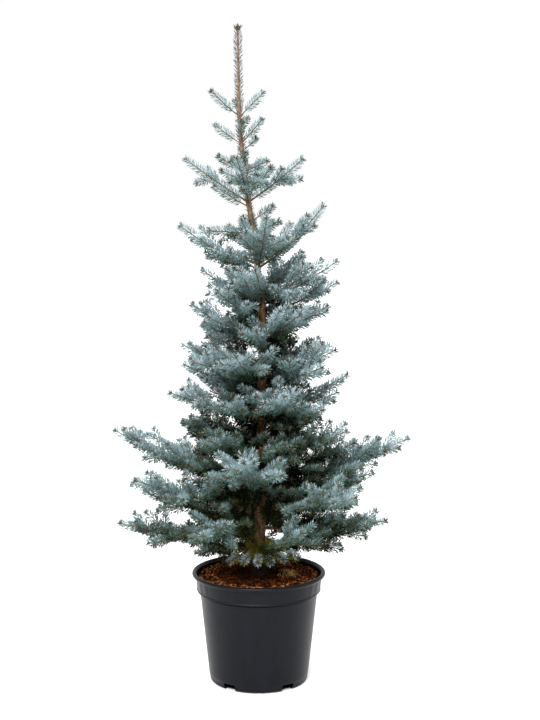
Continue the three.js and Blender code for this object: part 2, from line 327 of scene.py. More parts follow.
def bump(tree, shader, height, strength, distance):
    node = add_node(tree, "Bump", strength=strength, distance=distance, height=height)
    tree.links.new(node.outputs["Normal"], shader.inputs["Normal"])


def stretched(tree, place, x, y, z):
    return add_node(tree, "Mapping", vector=place, scale=(x, y, z)).outputs["Vector"]


def needle_material(name, colour, specular, sheen):
    """Waxy needles: one colour a tint, clouded a little, with a dull bloom."""
    material, tree, shader, place = new_material(name, 0.6, specular, sheen)
    shader.inputs["Sheen Roughness"].default_value = 0.5
    cloud = noise_node(tree, place, 90, 2.0)
    dark, light = [(*np.minimum(1, share * np.array(colour[:3])), 1.0) for share in (0.86, 1.12)]
    tree.links.new(ramp_node(tree, cloud, (0.35, dark), (0.65, light)), shader.inputs["Base Color"])
    bump(tree, shader, noise_node(tree, place, 900, 2.0), 0.15, 0.0002)
    return material


def grained_material(name, shine, grain, relief, *stops):
    """A dull material with one grain for its colour and its relief."""
    material, tree, shader, place = new_material(name, *shine)
    fac = noise_node(tree, place, *grain)
    tree.links.new(ramp_node(tree, fac, *stops), shader.inputs["Base Color"])
    bump(tree, shader, fac, *relief)
    return material


def twig_material(name, dark, light):
    """Thin bark, paler on the crests."""
    return grained_material(name, (0.75, 0.3), (260, 3.0), (0.5, 0.0006), (0.35, dark), (0.68, light))


def soil_material(name, *stops):
    return grained_material(name, (0.95, 0.03), (320, 5.0, 0.7), (0.8, 0.002), *stops)


def bark_material():
    """Trunk bark: brown scales low down, smoother towards the leader, and darkened towards the foot as
    painted shade under the lowest boughs.
    """
    material, tree, shader, place = new_material("trunk_bark", 0.9, 0.08)
    long_place = stretched(tree, place, 1, 1, 0.35)
    flakes = noise_node(tree, long_place, 130, 6.0, 0.7)
    low = ramp_node(
        tree, flakes,
        (0.34, srgb(42, 29, 18)), (0.5, srgb(114, 88, 62)), (0.7, srgb(180, 142, 106)),
    )
    high = ramp_node(
        tree, flakes,
        (0.34, srgb(54, 41, 31)), (0.5, srgb(106, 86, 67)), (0.7, srgb(146, 122, 98)),
    )
    height = add_node(tree, "SeparateXYZ", vector=place).outputs["Z"]
    share = add_node(tree, "MapRange", value=height, from_min=0.9, from_max=1.2)
    mix = add_node(tree, "Mix")
    mix.data_type = "RGBA"
    tree.links.new(share.outputs["Result"], mix.inputs["Factor"])
    tree.links.new(low, mix.inputs["A"])
    tree.links.new(high, mix.inputs["B"])
    # painted shade: the bark's colour is scaled down to near black towards the foot, under the lowest
    # boughs
    foot_shade = add_node(tree, "MapRange", value=height, from_min=0.275, from_max=0.43, to_min=0.05)
    shaded_bark = add_node(tree, "VectorMath")
    shaded_bark.operation = "SCALE"
    tree.links.new(mix.outputs["Result"], shaded_bark.inputs[0])
    tree.links.new(foot_shade.outputs["Result"], shaded_bark.inputs["Scale"])
    tree.links.new(shaded_bark.outputs["Vector"], shader.inputs["Base Color"])
    bump(tree, shader, flakes, 0.6, 0.0012)
    return material


def pot_material():
    """Moulded black polypropylene with a satin skin, faint flow marks, patches of duller gloss and a fine
    grain.
    """
    material, tree, shader, place = new_material("pot_plastic", 0.42, 0.126)
    flow = noise_node(tree, stretched(tree, place, 1, 1, 0.12), 34, 3.0)
    tone = ramp_node(tree, flow, (0.3, srgb(5, 6, 11)), (0.7, srgb(10, 11, 17)))
    tree.links.new(tone, shader.inputs["Base Color"])
    patch = noise_node(tree, place, 18, 4.0)
    gloss = add_node(tree, "MapRange", value=patch, to_min=0.32, to_max=0.44)
    tree.links.new(gloss.outputs["Result"], shader.inputs["Roughness"])
    bump(tree, shader, noise_node(tree, place, 700, 2.0), 0.08, 0.0003)
    return material


# ---------------------------------------------------------------- pot
def pot_wall_at(z):
    return lerp(POT["wall_foot_radius"], POT["wall_top_radius"], z / COLLAR_FOOT)


def pot_profile():
    """The outline from the middle of the underside, up the outside, over the lip and back down."""
    wall = POT["wall"]
    outside = [(0, 1.2), (60, 1.2), (98, 1.2), (101, 0.4), (104, 0), (107.4, 0), (108.8, 0.5)]
    outside += [(pot_wall_at(4) - 0.9, 4), (pot_wall_at(9) - 0.7, 9), (pot_wall_at(15) - 0.6, 15)]
    outside += [(pot_wall_at(16.2), 16.2)]
    outside += [(pot_wall_at(z), z) for z in np.linspace(22, COLLAR_FOOT - 6, 22)]
    outside += [(pot_wall_at(COLLAR_FOOT - 4.5), COLLAR_FOOT - 4.6)]
    groove = [(-1.7, -3.6), (-1.7, -1.2), (1.0, -0.7)]
    outside += [(POT["wall_top_radius"] + out, COLLAR_FOOT + up) for out, up in groove]
    bead_line = [(-0.4, -0.4), (0.9, 0.3), (1.4, 1.4), (1.2, 2.4), (0.4, 4.2)]
    outside += [(POT["collar_foot_radius"] + out, COLLAR_FOOT + up) for out, up in bead_line]
    for z in np.linspace(COLLAR_FOOT + 5.5, COLLAR_TOP - 1.5, 9):
        share = (z - COLLAR_FOOT) / POT["collar_height"]
        outside.append((lerp(POT["collar_foot_radius"], POT["collar_top_radius"], share), z))
    bead, height = POT["lip_height"] / 2 - 0.1, POT["height"]
    centre = (POT["lip_radius"] - bead, height - bead)
    outside += [(centre[0] - 2.6, centre[1] - bead + 0.3)]
    for turn in np.linspace(-78, 150, 15):
        angle = math.radians(turn)
        outside.append((centre[0] + bead * math.cos(angle), centre[1] + bead * math.sin(angle)))
    inside = [(POT["collar_top_radius"] - wall, height - 5)]
    inside += [(POT["collar_foot_radius"] - wall, COLLAR_FOOT + 3)]
    inside += [(POT["wall_top_radius"] - wall, COLLAR_FOOT)]
    inside += [(pot_wall_at(POT["floor"]) - wall, POT["floor"]), (0, POT["floor"])]
    return np.array(outside + inside)


def collar_ribs(radius, height, angle):
    """Faint upright flutes on the collar's two sides, where the stacking lugs are moulded."""
    front = np.abs(np.mod(angle + math.pi / 2 + math.pi, 2 * math.pi) - math.pi)
    sides = smoothstep(front, 0.8, 0.95) * (1 - smoothstep(front, 1.35, 1.5))
    level = smoothstep(height, COLLAR_FOOT + 3, COLLAR_FOOT + 7)
    level = level * (1 - smoothstep(height, COLLAR_TOP - 6, COLLAR_TOP - 2))
    outer = (radius > POT["collar_foot_radius"] - 1.5) & (height > COLLAR_FOOT) & (height < COLLAR_TOP)
    return np.where(outer, 0.4 * np.cos(front * 32) * sides * level, 0)


def foot_cutter(width, low, high, near, bearing):
    """A block that reaches in through the pot's foot to a radius of near, its upper edges eased."""
    w, r = width / 2, 0.1 * high
    outline = [(-w, low), (w, low), (w, high - r), (w - r, high), (-w + r, high), (-w, high - r)]
    block = [np.column_stack([np.full(6, x), outline]) for x in (near, POT["foot_radius"] + 18.0)]
    faces = [(0, i + 1, i) for i in range(1, 5)]
    faces += [(6, 6 + i, 7 + i) for i in range(1, 5)]
    for i in range(6):
        j = (i + 1) % 6
        faces += [(i, j, 6 + j), (i, 6 + j, 6 + i)]
    c, s = math.cos(bearing), math.sin(bearing)
    return np.concatenate(block) @ np.array([[c, s, 0], [-s, c, 0], [0, 0, 1]]), np.array(faces)


def make_pot():
    profile, segments = pot_profile(), 180
    ends = [[0, 0, profile[0, 1]], [0, 0, profile[-1, 1]]]
    verts = np.concatenate([turned(profile[1:-1], segments, collar_ribs), ends])
    pot = mesh_object("nursery_pot", verts, ring_walls(len(profile) - 2, segments))
    turn = 2 * math.pi / DRAIN["count"]
    edge, under, inner = POT["foot_radius"] - 0.8 * DRAIN["depth"], -9, 70
    wide, high = DRAIN["width"], DRAIN["height"]
    shallow, deep = Heap(), Heap()
    for i in range(DRAIN["count"]):
        bearing = -math.pi / 2 + turn * (i + 0.5)
        notch = DRAIN["notch_width"], under, DRAIN["notch_height"], edge, bearing + turn / 2
        shallow.add(*foot_cutter(wide, under, high, edge, bearing))
        shallow.add(*foot_cutter(*notch))
        deep.add(*foot_cutter(wide - 1, POT["floor"] - 1, high - 0.5, inner, bearing))
    for name, heap in (("drains", shallow), ("drain_depths", deep)):
        cutter = mesh_object(name, *heap.arrays())
        cut = pot.modifiers.new(name, "BOOLEAN")
        cut.operation = "DIFFERENCE"
        cut.solver = "EXACT"
        cut.object = cutter
        mesh = bpy.data.meshes.new_from_object(pot.evaluated_get(bpy.context.evaluated_depsgraph_get()))
        pot.modifiers.clear()
        pot.data = mesh
        bpy.data.objects.remove(cutter)
    mesh.polygons.foreach_set("use_smooth", np.full(len(mesh.polygons), True))
    mesh.set_sharp_from_angle(angle=math.radians(32))
    return dress(pot, pot_material(), "pot_plastic", "pot")


# ---------------------------------------------------------------- potting mix
def soil_height(x, y):
    """The mix stands a little higher at the trunk, and is lumpy all over."""
    radius = np.hypot(x, y)
    place = np.stack([x, y, np.zeros_like(x)], -1)
    lumps = 2.2 * noise(place, 26, 3) + 1.5 * noise(place, 9, 4) + 0.8 * noise(place, 4, 5)
    mound = SOIL_RISE * (1 - smoothstep(radius, 22, 118))
    return SOIL_LEVEL - 1.5 + mound + lumps * smoothstep(142 - radius, 0, 8)


def make_soil():
    rings, segments = 80, 200
    angle = circle(segments)
    top = around(np.linspace(1, 0, rings + 1)[:-1, None] * 142.6, angle, 0.0)
    top[..., 2] = soil_height(top[..., 0], top[..., 1])
    low = pot_wall_at(POT["floor"]) - POT["wall"] - 0.6
    neck = POT["wall_top_radius"] - POT["wall"] - 0.6
    skirt = np.array([(low, 21.0), (neck, 212), (139.2, 216.5)])
    grid = np.concatenate([around(skirt[:, :1], angle, skirt[:, 1:]), top])
    verts = np.concatenate([grid.reshape(-1, 3), [[0, 0, 21.0], [0, 0, 250.5]]])
    soil = mesh_object("potting_mix_bed", verts, ring_walls(len(grid), segments), smooth=True)
    earth = soil_material(
        "mix_bed", (0.3, srgb(2, 1, 0)), (0.5, srgb(10, 4, 2)), (0.7, srgb(28, 12, 5)),
    )
    dress(soil, earth, "potting_mix", "soil")


CRUMB = outward(
    np.array([(1, 0, 0), (-1, 0, 0), (0, 1, 0), (0, -1, 0), (0, 0, 1), (0, 0, -1)]) * 0.5,
    [(0, 2, 4), (2, 1, 4), (1, 3, 4), (3, 0, 4), (2, 0, 5), (1, 2, 5), (3, 1, 5), (0, 3, 5)],
)


def make_rim_smear():
    """Painted shade: a thin near-black lining on the pot's inner wall between the bed and the rim, where
    the rim shades the wall.
    """
    slope = (POT["collar_top_radius"] - POT["collar_foot_radius"]) / (POT["collar_height"] + 2)
    wall = [
        (POT["collar_foot_radius"] - POT["wall"] + slope * (z - COLLAR_FOOT - 3) - 0.05, z)
        for z in (236.0, 241.0, 246.0, 251.0)
    ]
    shade_lining = [(r - 0.35, z) for r, z in wall[::-1]]
    ring, segments = np.array(wall + shade_lining), 180
    walls = ring_walls(len(ring), segments, closed=True)
    smear = mesh_object("rim_painted_shade", turned(ring, segments), walls, smooth=True)
    rim_shade_look = soil_material("rim_painted_shade", (0.3, srgb(4, 4, 5)), (0.7, srgb(16, 13, 12)))
    dress(smear, rim_shade_look, "potting_mix")


def disc_points(rng, count, most, least=0.0):
    radius = np.sqrt(rng.uniform((least / most) ** 2, 1, count)) * most
    angle = rng.uniform(0, 2 * math.pi, count)
    return radius * np.cos(angle), radius * np.sin(angle)


def fibre(rng, x, y, z, length, thick, lift):
    """One curved fibre, as a thin three-sided tube."""
    along = facing(rng.uniform(0, 2 * math.pi))
    aside = np.array([-along[1], along[0], 0])
    t = np.linspace(0, 1, 4)[:, None]
    bend = rng.uniform(-0.35, 0.35) * length
    points = np.array([x, y, z]) + along * (t - 0.5) * length + aside * bend * t * (1 - t) * 2
    points[:, 2] += (lift * np.sin(math.pi * t) + rng.uniform(-0.8, 3.2) * t)[:, 0]
    return tube(points, thick * np.array([0.7, 1, 0.9, 0.4]) / 2, 3)


def make_mix_litter():
    """Coir fibres, bark crumbs and a tuft of straw that lie on the potting mix."""
    rng = np.random.default_rng(SEED + 1)
    # painted shade: the pale tan fibres lie only out near the rim and the darker ones reach in to the
    # trunk, as the crown shades the middle of the mix
    kinds = [
        ("coir_tan", 620, 100, 137, (3, 7), (1.2, 2.0), (srgb(118, 67, 30), srgb(212, 148, 94))),
        ("coir_orange", 1500, 60, 137, (3, 8), (1.1, 1.9), (srgb(60, 28, 8), srgb(118, 64, 26))),
        ("coir_brown", 1500, 14, 134, (5, 12), (1.0, 1.8), (srgb(24, 10, 4), srgb(56, 27, 10))),
    ]
    for name, count, least, most, lengths, thicks, (dark, light) in kinds:
        heap = Heap()
        xs, ys = disc_points(rng, count, most, least)
        zs = soil_height(xs, ys) + rng.uniform(0, 2.2, count)
        for x, y, z in zip(xs, ys, zs):
            heap.add(*fibre(rng, x, y, z, rng.uniform(*lengths), rng.uniform(*thicks), 1.2))
        look = soil_material(name, (0.3, dark), (0.7, light))
        dress(mesh_object(name, *heap.arrays()), look, "potting_mix")
    crumbs = [
        ("crumbs_dark", 3200, srgb(3, 1, 1), srgb(14, 6, 3)),
        ("crumbs_red", 1700, srgb(30, 12, 4), srgb(78, 38, 15)),
    ]
    for name, count, dark, light in crumbs:
        xs, ys = disc_points(rng, count, 137, 8)
        origins = np.column_stack([xs, ys, soil_height(xs, ys) + rng.uniform(-0.2, 1.6, count)])
        along = unit(rng.normal(size=(count, 3)))
        size = rng.uniform(1.6, 4.6, (count, 1)) * rng.uniform(0.5, 1.2, (count, 3))
        piece = mesh_object(name, *scatter(CRUMB, origins, along, rng.uniform(0, 6.3, count), size))
        dress(piece, soil_material(name, (0.3, dark), (0.7, light)), "potting_mix")
    heap = Heap()
    for _ in range(46):
        x, y = rng.normal(70, 10), rng.normal(-24, 12)
        z = soil_height(np.array([x]), np.array([y]))[0] + rng.uniform(1, 12)
        heap.add(*fibre(rng, x, y, z, rng.uniform(10, 24), rng.uniform(0.8, 1.4), 5))
    straw = soil_material("straw_tuft", (0.3, srgb(84, 62, 24)), (0.7, srgb(178, 150, 92)))
    dress(mesh_object("straw_tuft", *heap.arrays()), straw, "potting_mix")


# ---------------------------------------------------------------- trunk
def trunk_share(z):
    return (z - TRUNK_FOOT) / (LEADER_TOP - TRUNK_FOOT)


def trunk_centre(z):
    t = trunk_share(np.asarray(z, float))
    x = 8 * np.sin(math.pi * t) - 46 * smoothstep(t, 0.45, 0.85)
    return np.stack([x, 5 * np.sin(2.2 * math.pi * t), np.asarray(z, float)], -1)


def trunk_radius(z, angle):
    flare = np.minimum(np.exp(-(np.asarray(z, float) - TRUNK_FOOT) / 16), 1.3)
    lobe = 1 + 0.16 * flare * np.cos(5 * angle)
    return (lerp(14, 1.9, trunk_share(z)) + 6 * flare) * lobe


def make_trunk():
    """The trunk from just under the mix to the leader's bud, with scaly bark and knots in relief."""
    sides, rings = 48, 560
    z = lerp(244, 1489, np.linspace(0, 1, rings) ** 1.1)[:, None]
    angle = circle(sides)
    radius = trunk_radius(z, angle)
    skin = around(radius, angle, z * 0.45)
    scales = np.maximum(noise(skin, 4.6, 11), -0.2) + 0.6 * noise(skin, 2.2, 12)
    swell = noise(skin * [1, 1, 0.5], 14, 13)
    bark = (0.75 * scales + 0.7 * swell) * np.clip(radius / 14, 0.18, 1)
    for height, *_ in TIERS:
        bark = bark + 1.6 * np.clip(radius / 14, 0.3, 1) * np.exp(-(((z - height) / 11) ** 2))
    radius = radius + bark
    centre = trunk_centre(z[:, 0])
    walls = centre[:, None] + around(radius, angle, 0.0)
    verts = np.concatenate([walls.reshape(-1, 3), centre[:1], centre[-1:]])
    trunk = mesh_object("trunk_with_bark", verts, ring_walls(rings, sides), smooth=True)
    dress(trunk, bark_material(), "trunk_bark", "trunk")


# ---------------------------------------------------------------- the source's boughs and shoots
def round_the_trunk(left, right, bearing):
    across = right if math.cos(bearing) >= 0 else left
    deep = (right + left) / 2
    return math.hypot(across * math.cos(bearing), deep * math.sin(bearing))


class Bough:
    """A bough's centre line, from the trunk's axis at t = 0 to its tip at t = 1."""

    def __init__(self, height, bearing, reach, rise, curl, bare, random):
        self.height, self.reach, self.rise = height, reach, rise
        self.curl, self.bare, self.random = curl, bare, random
        self.swerve = spread(random, 0.07) * reach
        self.out = facing(bearing)
        self.aside = np.array([-self.out[1], self.out[0], 0])
        self.root = trunk_centre(height)
        self.length = math.hypot(reach, rise)

    def point(self, t):
        t = np.asarray(t, float)[..., None]
        lift = self.rise * ((1 - self.curl) * t + self.curl * t * t)
        return (
            self.root
            + self.out * self.reach * t
            + self.aside * self.swerve * np.sin(math.pi * t) * 0.5
            + UP * lift
        )

    def axes(self, t):
        """The bough's own way at t, and the level way square to it."""
        tangent = unit(self.point(t + 1e-3) - self.point(t - 1e-3))
        return tangent, unit(np.cross(tangent, UP))


class Shoot:
    """One twig: its kind, and a row of points from its root to its tip."""

    def __init__(self, root, direction, length, random, bend, kind):
        self.length, self.kind = length, kind
        t = np.linspace(0, 1, max(3, math.ceil(length / 14) + 1))[:, None]
        aside = unit(np.cross(direction, UP) + 1e-6)
        sway = spread(random, 0.06) * length
        self.points = (
            root + direction * length * t + UP * bend * length * t * t * (1 - 0.4 * t)
            + aside * sway * t * t
        )

    def at(self, t):
        place = t * (len(self.points) - 1)
        j = min(int(place), len(self.points) - 2)
        return lerp(self.points[j], self.points[j + 1], place - j)

    def along(self, t):
        j = min(int(t * (len(self.points) - 1)), len(self.points) - 2)
        return unit(self.points[j + 1] - self.points[j])


def source_bough(tier_index, i):
    """Bough i of a tier, by the source's rule."""
    height, count, turn, left, right, curl, bare = TIERS[tier_index]
    random = seeded(SEED + 101 * tier_index + 17 * i)
    random()
    bearing = math.radians(turn + 360 * i / count + spread(random, 4))
    reach = round_the_trunk(left[0], right[0], bearing)
    lift = SKIRT_LIFT * math.sin(bearing) ** 2 if tier_index == 0 else 0
    rise = round_the_trunk(left[1], right[1], bearing) + lift
    return Bough(height, bearing, reach, rise, curl, bare, random)


# the turn from one shoot to the next round a stem, in degrees
GOLDEN_TURN = 137.5

# where the seeds of each kind of growth start
SEEDS = dict(tiers_between=4000, boughs_between=5000, between=7000, trunk=9000, core=12000, backing=14000)

# two more boughs that widen the right side: height, bearing, reach, rise
EXTRA_BOUGHS = [(398, -9, 258, 96), (602, 8, 174, 66)]


def boughs_between_tiers():
    """Shorter boughs that leave the trunk between two tiers and fill the crown there."""
    random = seeded(SEED + SEEDS["tiers_between"])
    made, turn = [], 60.0
    for below, above in zip(TIERS[3:13], TIERS[4:14]):
        gap = above[0] - below[0]
        apart = np.interp(below[0], [434, 615, 786, 872, 956, 1035], [15, 13, 16, 26, 24, 34])
        count = max(2, round(gap / apart))
        for k in range(count):
            share = (k + 0.5 + spread(random, 0.3)) / count
            turn += GOLDEN_TURN + spread(random, 14)
            bearing = math.radians(turn)
            left = lerp(np.array(below[3]), np.array(above[3]), share)
            right = lerp(np.array(below[4]), np.array(above[4]), share)
            most = min(round_the_trunk(left[0], right[0], bearing), 235)
            fill = np.interp(below[0], [620, 790, 1000], [0.88, 0.88, 0.7]) + spread(random, 0.12)
            reach = most * fill
            rise = round_the_trunk(left[1], right[1], bearing) * fill * (0.9 + spread(random, 0.3))
            made.append((below[0] + gap * share, bearing, reach, rise))
    made += [(height, math.radians(degrees), reach, rise) for height, degrees, reach, rise in EXTRA_BOUGHS]
    first = SEED + SEEDS["boughs_between"]
    return [Bough(*bough, 0.2, 0, seeded(first + k)) for k, bough in enumerate(made)]


def source_side_shoot(bough, back, hand, pair):
    """The source's rule for one side shoot of a stem, back from its end."""
    random = bough.random
    t = 1 - (back + spread(random, 5)) / bough.length
    tangent, side = bough.axes(t)
    angle = math.radians(50 + spread(random, 6))
    tilt = 0.14 + 0.3 * hand * (1 if pair % 2 else -1) + spread(random, 0.1)
    direction = unit(tangent * math.cos(angle) + side * hand * math.sin(angle) + UP * tilt)
    length = min(24 + 0.5 * back, 108) * (1 + spread(random, 0.12))
    return bough.point(t), direction, length


# stretches of the trunk that show between the boughs from the front, and what stays open there
WINDOWS = [(316, 392), (514, 546), (578, 622), (668, 712), (774, 792), (828, 860), (918, 946)]
WINDOW_HALF, FOOT_WINDOW, FOOT_HALF = 15, (296, 346), 60

# kinds of shoot: a pale whorl at the trunk's foot, side shoots, their forks, inner ones tinted
# dark as painted shade, and olive ones at the foot
PALE, SIDE, FORK, INNER, OLIVE = range(5)

# boughs above the first height end in single brushes, and the shoots of those above the second droop
SINGLE_ABOVE, DROOP_ABOVE = 850, 1000

# the room that each kind of shoot keeps round itself
GAP = dict(side=19, fork=15, between=15, core=10, trunk=16, backing=9)
ON_TRUNK = -1


class Room:
    """Room that stems keep to themselves: rows of balls along them, each with its owner."""

    MOST = 60000

    def __init__(self):
        self.centres = np.zeros((self.MOST, 3))
        self.owners = np.zeros(self.MOST, int)
        self.count = 0

    def is_clear(self, points, owner, radius):
        centres = self.centres[: self.count][self.owners[: self.count] != owner]
        lo, hi = points.min(0) - radius, points.max(0) + radius
        near = centres[np.all((centres > lo) & (centres < hi), axis=1)]
        if not len(near):
            return True
        gaps = np.linalg.norm(points[:, None] - near[None], axis=2)
        return gaps.min() > radius

    def claim(self, points, owner):
        self.centres[self.count : self.count + len(points)] = points
        self.owners[self.count : self.count + len(points)] = owner
        self.count += len(points)


def hides_trunk(points):
    """Whether points stand before a stretch of trunk that shows, or in the open round its foot."""
    ahead = points[points[:, 1] < 4]
    if not len(ahead):
        return False
    near = (ahead[:, 1] - EYE[1]) / -EYE[1]
    height = EYE[2] - (EYE[2] - ahead[:, 2]) / near
    across = np.abs(EYE[0] + (ahead[:, 0] - EYE[0]) / near - trunk_centre(height)[:, 0])
    views = [(FOOT_HALF, FOOT_WINDOW)] + [(WINDOW_HALF, window) for window in WINDOWS]
    return any(np.any((across < half) & (height > low) & (height < high)) for half, (low, high) in views)


class Tree:
    """All shoots of the crown, grown from the source's boughs and carried on to finer ones."""

    def __init__(self):
        self.room = Room()
        self.shoots = []
        self.boughs = [source_bough(k, i) for k, tier in enumerate(TIERS) for i in range(tier[1])]
        self.boughs += boughs_between_tiers()
        self.on_each_bough(self.claim_bough)
        self.on_each_bough(self.grow_sides)
        self.on_each_bough(self.grow_between)
        self.grow_on_trunk()
        self.on_each_bough(self.grow_core)
        self.grow_backing()

    def on_each_bough(self, step):
        for number, bough in enumerate(self.boughs):
            step(bough, number)

    def claim_bough(self, bough, number):
        self.room.claim(bough.point(np.linspace(0.12, 1, math.ceil(bough.length / 6))), number)

    def try_shoot(self, root, direction, length, random, owner, gap, bend=0.1, kind=SIDE):
        """A shoot where it has room. It may be shortened twice to find it."""
        for share in (1.0, 0.75, 0.55):
            shoot = Shoot(root, direction, length * share, random, bend, kind)
            if shoot.length < 22:
                return None
            t = np.linspace(min(0.8, 20 / shoot.length), 1, max(3, math.ceil(shoot.length / 8)))
            test = np.array([shoot.at(s) for s in t])
            skirt = 262 + 0.2 * np.hypot(test[:, 0], test[:, 1])
            if np.any(test[:, 2] < skirt) or test[:, 2].max() > 1440 or hides_trunk(test):
                continue
            if self.room.is_clear(test, owner, gap):
                self.room.claim(test, 1000 + len(self.shoots))
                self.shoots.append(shoot)
                return shoot
        return None

    def fork(self, shoot, random, number):
        """Side shoots of a side shoot, in pairs."""
        if shoot is None or shoot.length < 58 or shoot.points[0][2] > 1040:
            return
        pairs = 1 if shoot.length < 84 else 2
        for pair in range(pairs):
            for hand in (-1, 1):
                t = 0.62 - 0.3 * pair + spread(random, 0.05)
                along = shoot.along(t)
                side = unit(np.cross(along, UP) + 1e-6)
                angle = math.radians(48 + spread(random, 8))
                tilt = 0.12 + spread(random, 0.3)
                way = unit(along * math.cos(angle) + side * hand * math.sin(angle) + UP * tilt)
                reach = (1 - t) * shoot.length * (0.72 + spread(random, 0.12))
                self.try_shoot(shoot.at(t), way, max(24, reach), random, number, GAP["fork"], kind=FORK)

    def grow_sides(self, bough, number):
        first = min(max(0.25 * bough.length, 38), 56)
        spacing = 24 + 0.125 * bough.length
        nearest = max(46, bough.bare * bough.length + 12)
        pairs = max(0, math.ceil((bough.length - first - nearest) / spacing))
        for pair in range(pairs):
            for hand in (-1, 1):
                root, way, length = source_side_shoot(bough, first + pair * spacing, hand, pair)
                if pair == 0 and bough.height > SINGLE_ABOVE:
                    continue
                bend = 0.1 if bough.height < DROOP_ABOVE else -0.3
                shoot = self.try_shoot(root, way, length, bough.random, number, GAP["side"], bend)
                self.fork(shoot, bough.random, number)

    def grow_between(self, bough, number):
        """Finer shoots between the source's pairs: short ones beside, above and below the stem."""
        random = seeded(SEED + SEEDS["between"] + 31 * number)
        first = min(max(0.25 * bough.length, 38), 56)
        back = first + (14 if bough.height < SINGLE_ABOVE else 26)
        hand = 1
        while back < bough.length - 26:
            t = 1 - back / bough.length
            tangent, side = bough.axes(t)
            turn = math.radians(random() * 125 - (35 if bough.height < DROOP_ABOVE else 95))
            way = side * hand * math.cos(turn) + UP * math.sin(turn)
            way = unit(tangent * 0.9 + way * (0.75 + spread(random, 0.15)))
            length = min(26 + 0.34 * back, 70) * (1 + spread(random, 0.2))
            self.try_shoot(bough.point(t), way, length, random, number, GAP["between"])
            hand = -hand
            back += np.interp(bough.height, [872, 956, 1035], [11, 14, 34]) + spread(random, 3)

    def grow_core(self, bough, number):
        """Short shoots all round the inner part of a bough, which close the crown's middle; their dark
        tint is painted shade.
        """
        random = seeded(SEED + SEEDS["core"] + 31 * number)
        along = 24.0
        reach = (0.42 if bough.height > 330 else 0.28) * bough.length
        while along < reach and bough.height < 900:
            t = along / bough.length
            tangent, side = bough.axes(t)
            turn = random() * 2 * math.pi
            way = unit(tangent * 0.5 + side * math.cos(turn) + np.cross(side, tangent) * math.sin(turn))
            length = 30 + 22 * random()
            self.try_shoot(bough.point(t), way, length, random, number, GAP["core"], kind=INNER)
            along += 9 + 5 * random()

    def grow_backing(self):
        """Shoots from the back of the trunk, which close the view past it; their dark tint is painted
        shade.
        """
        random = seeded(SEED + SEEDS["backing"])
        for z in np.arange(344.0, 880.0, 7.5):
            angle = math.radians(90 + spread(random, 75))
            way = unit(facing(angle, 0.25 + spread(random, 0.35)))
            length = 62 + spread(random, 16)
            self.try_shoot(trunk_centre(z), way, length, random, ON_TRUNK, GAP["backing"], kind=INNER)

    def grow_on_trunk(self):
        """Short shoots straight from the trunk between the tiers, and drooping ones at its foot."""
        random = seeded(SEED + SEEDS["trunk"])
        z, turn = 286.0, 0.0
        while z < 1312:
            turn += GOLDEN_TURN + spread(random, 18)
            front = abs((turn + 90 + 180) % 360 - 180)
            seen = 640 < z < 1010 or 396 < z < 480 or z < 340
            if not (seen and front < 40):
                lift = math.tan(math.radians(lerp(18, 48, (z - 286) / 1026) + spread(random, 12)))
                length = lerp(110, 34, min(1, (z - 286) / 840)) * (1 + spread(random, 0.3))
                way = unit(facing(math.radians(turn), lift))
                root = trunk_centre(z)
                self.try_shoot(root, way, length, random, ON_TRUNK, GAP["trunk"], bend=0.05)
            z += np.interp(z, [300, 360, 1000, 1001], [12, 8.5, 8.5, 13])
        for bearing in (-112, -93, -71, -49, -20, 14, 50, 86, 122, 158, 194, 226):
            angle = math.radians(bearing + spread(random, 4))
            way = unit(facing(angle, -0.05 + spread(random, 0.06)))
            root = trunk_centre(319 + spread(random, 5))
            self.shoots.append(Shoot(root, way, 90 + spread(random, 8), random, -0.26, PALE))
        for k in range(20):
            angle = 2.4 * k + spread(random, 0.3)
            way = unit(facing(angle, 0.15 + spread(random, 0.5)))
            root = trunk_centre(292 + 2.1 * k)
            self.shoots.append(Shoot(root, way, 36 + spread(random, 8), random, -0.25, OLIVE))


# ---------------------------------------------------------------- needles, twigs and buds
NEEDLE = outward(
    np.array([(0, 0, 0), (-0.5, 0.55, 0.62), (0.5, 0.55, 0.62), (0, 0.05, 1)]),
    [(0, 1, 2), (0, 1, 3), (0, 2, 3), (1, 2, 3)],
)


def bud_shape(sides, *rings):
    """A closed shape round the Z axis, from a point at the origin to a point one above it."""
    verts = np.concatenate([turned(np.array(rings), sides), [(0, 0, 0), (0, 0, 1)]])
    return verts, ring_walls(len(rings), sides)


BUD = bud_shape(6, (0.42, 0.22), (0.5, 0.45), (0.26, 0.8))
SIDE_BUD = bud_shape(4, (0.5, 0.45))

TINTS = {
    "frost": (srgb(149, 167, 172), 0.25, 0.03),
    "pale": (srgb(122, 143, 146), 0.22, 0.02),
    "blue": (srgb(94, 117, 117), 0.16, 0.0),
    "teal": (srgb(60, 80, 65), 0.1, 0.0),
    "shade": (srgb(9, 13, 3), 0.03, 0.0),
    # a darker copy of olive, for olive needles further down the ladder: painted shade
    "olive_shade": (srgb(36, 41, 16), 0.05, 0.0),
    "olive": (srgb(110, 105, 38), 0.08, 0.0),
    "tip": (srgb(60, 53, 38), 0.08, 0.0),
    "grey": (srgb(99, 98, 97), 0.18, 0.02),
}
# the ladder of needle tints runs from the palest blue-grey to near black; a needle moved down it carries
# painted shade
LADDER = ["frost", "pale", "blue", "teal", "shade"]
NEEDLES_A_PIECE = 48000


